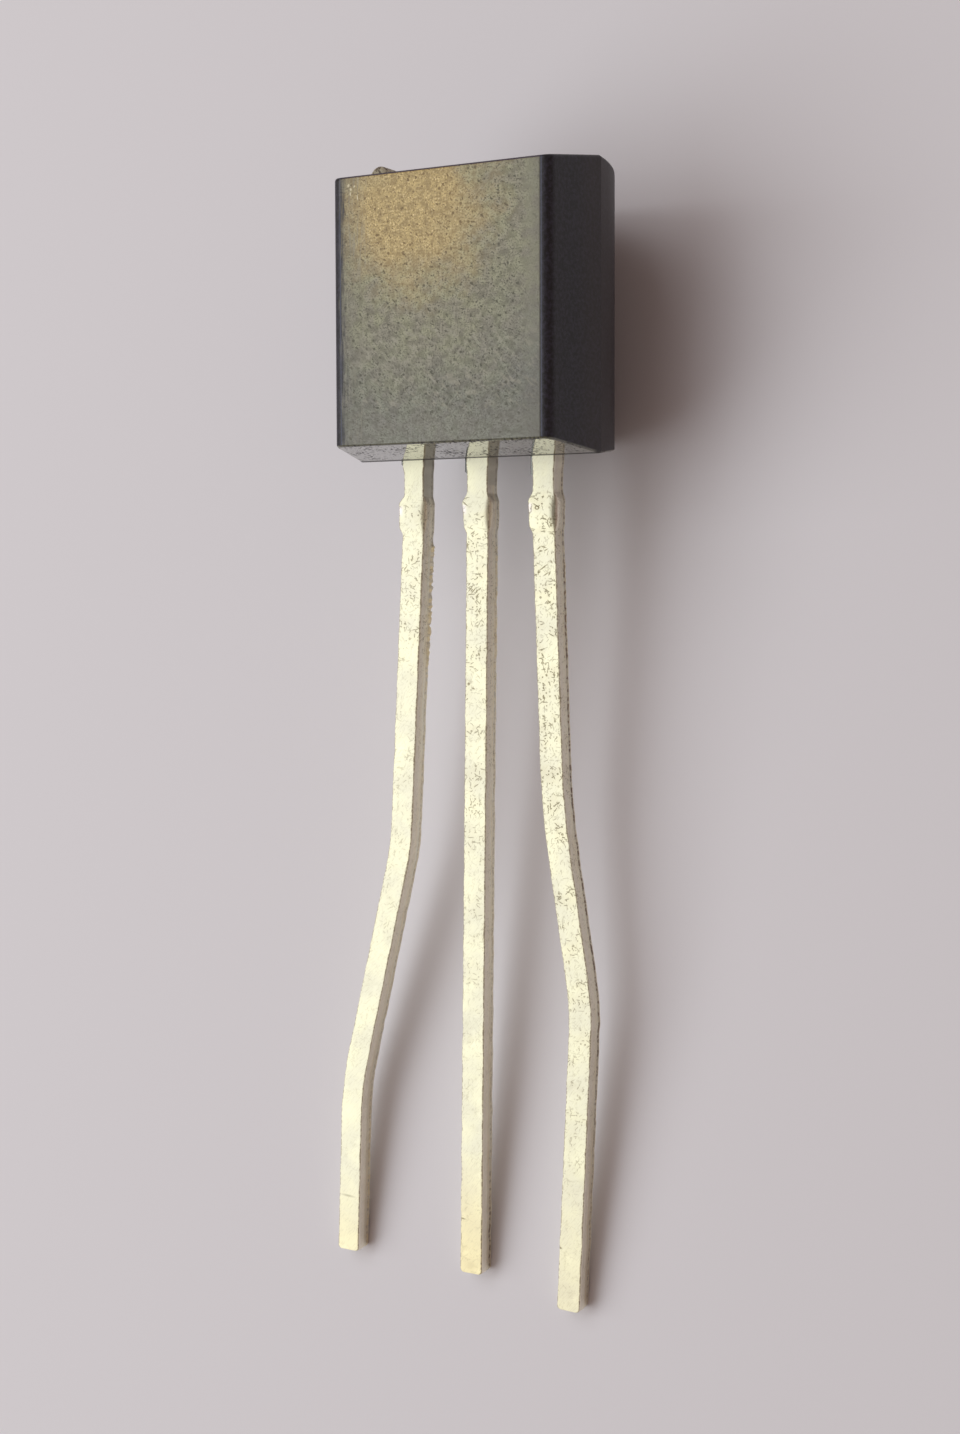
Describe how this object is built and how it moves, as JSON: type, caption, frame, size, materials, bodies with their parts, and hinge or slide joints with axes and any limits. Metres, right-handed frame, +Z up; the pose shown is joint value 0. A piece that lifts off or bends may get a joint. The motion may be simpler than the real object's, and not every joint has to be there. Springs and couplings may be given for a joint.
{
  "type": "temperature sensor",
  "caption": "Analogue temperature sensor: black moulded body with a flat face and half-round back, on stamped tinned leads bent out at their tips.",
  "frame": {"origin": "on the table, under the middle of the sensor's bounding box as it lies face up", "axes": "+Y from the lead tips towards the body, +Z up out of the table, +X to the right as the flat face is seen with the leads towards you"},
  "size_m": [0.0054, 0.0194, 0.0042],
  "materials": {
    "resin": "moulded black epoxy, fine mottled grain",
    "tinned_lead": "dull tin plating, pale and slightly yellow, scratched and pitted",
    "silicon": "polished silicon, dark grey",
    "adhesive": "silver-filled epoxy",
    "gold_wire": "drawn gold wire"
  },
  "bodies": {
    "root": {"moulded_body": "resin", "lead_supply": "tinned_lead", "lead_output": "tinned_lead", "lead_ground": "tinned_lead", "silicon_die": "silicon", "die_attach": "adhesive", "bond_wire_supply": "gold_wire", "bond_wire_output": "gold_wire", "bond_wire_ground": "gold_wire"}
  },
  "joints": []
}
